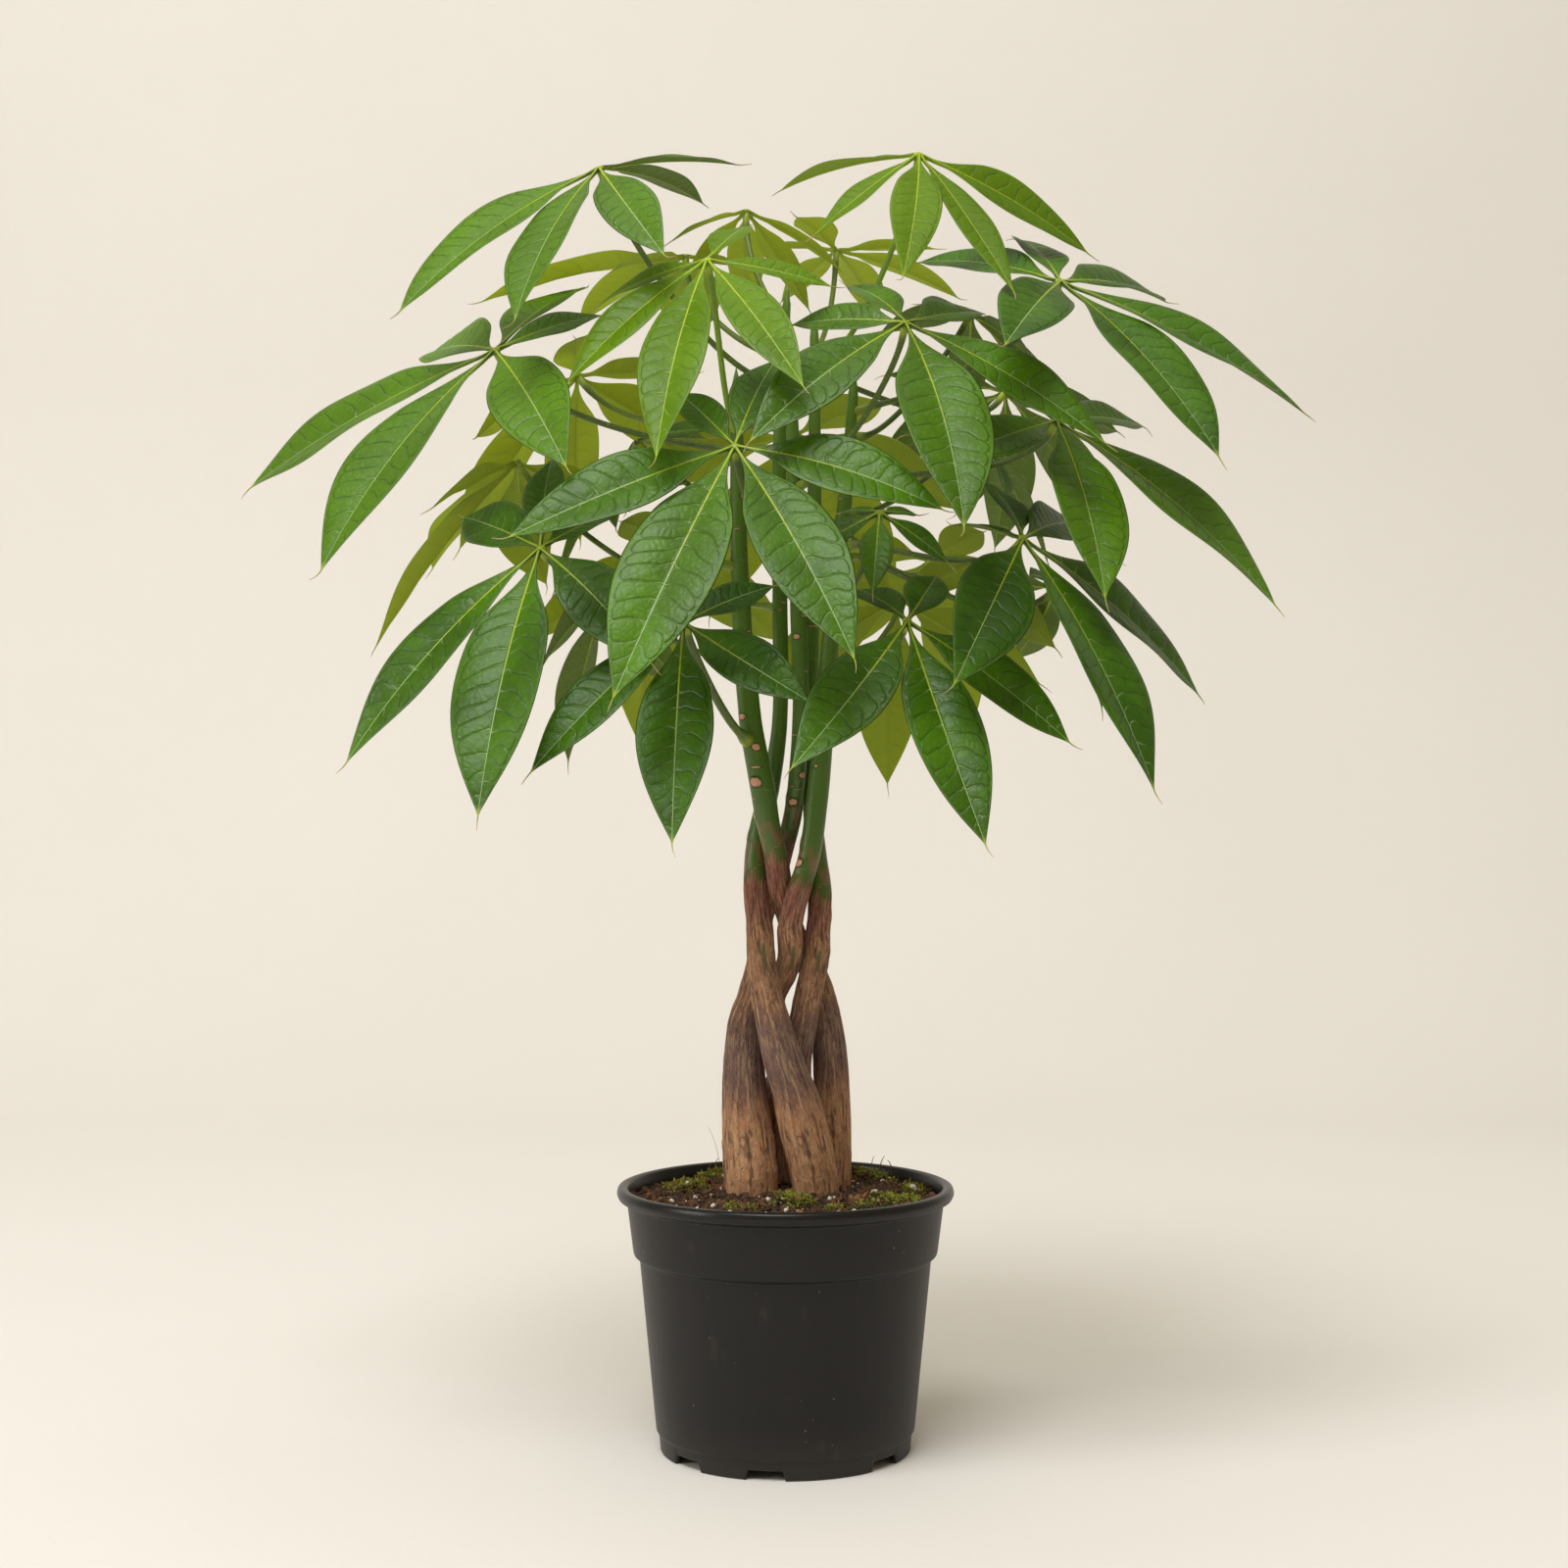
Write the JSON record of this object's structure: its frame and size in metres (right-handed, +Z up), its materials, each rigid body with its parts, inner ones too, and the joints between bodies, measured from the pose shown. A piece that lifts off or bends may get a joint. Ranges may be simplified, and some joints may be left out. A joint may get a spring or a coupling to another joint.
{
  "type": "potted money tree",
  "caption": "Braided money tree with hand-shaped drooping leaves, planted in soil in a black nursery pot.",
  "frame": {"origin": "middle of the flat pad under the pot, on the surface that the pot stands on", "axes": "+Z up along the trunks, -Y towards the viewer in the picture, +X to the right"},
  "size_m": [0.5366, 0.373, 0.6625],
  "materials": {
    "pot": "satin",
    "soil": "matte",
    "trunk": "matte",
    "leaf": "satin",
    "young_leaf": "satin"
  },
  "bodies": {
    "root": {"leaf_01": "leaf", "leaf_02": "young_leaf", "leaf_03": "young_leaf", "leaf_04": "leaf", "leaf_05": "leaf", "leaf_06": "leaf", "leaf_07": "leaf", "leaf_08": "leaf", "leaf_09": "leaf", "leaf_10": "leaf", "leaf_11": "leaf", "leaf_12": "leaf", "leaf_13": "leaf", "leaf_14": "leaf", "leaf_15": "leaf", "leaf_16": "leaf", "leaf_17": "leaf", "leaf_18": "leaf", "leaf_19": "leaf", "leaf_20": "leaf", "leaf_21": "leaf", "leaf_22": "leaf", "leaf_23": "leaf", "leaf_24": "leaf", "leaf_25": "leaf", "leaf_26": "leaf", "leaf_27": "leaf", "leaf_28": "leaf", "pot": "pot", "soil": "soil", "trunk_1": "trunk", "trunk_2": "trunk", "trunk_3": "trunk", "trunk_4": "trunk", "trunk_5": "trunk"}
  },
  "joints": []
}
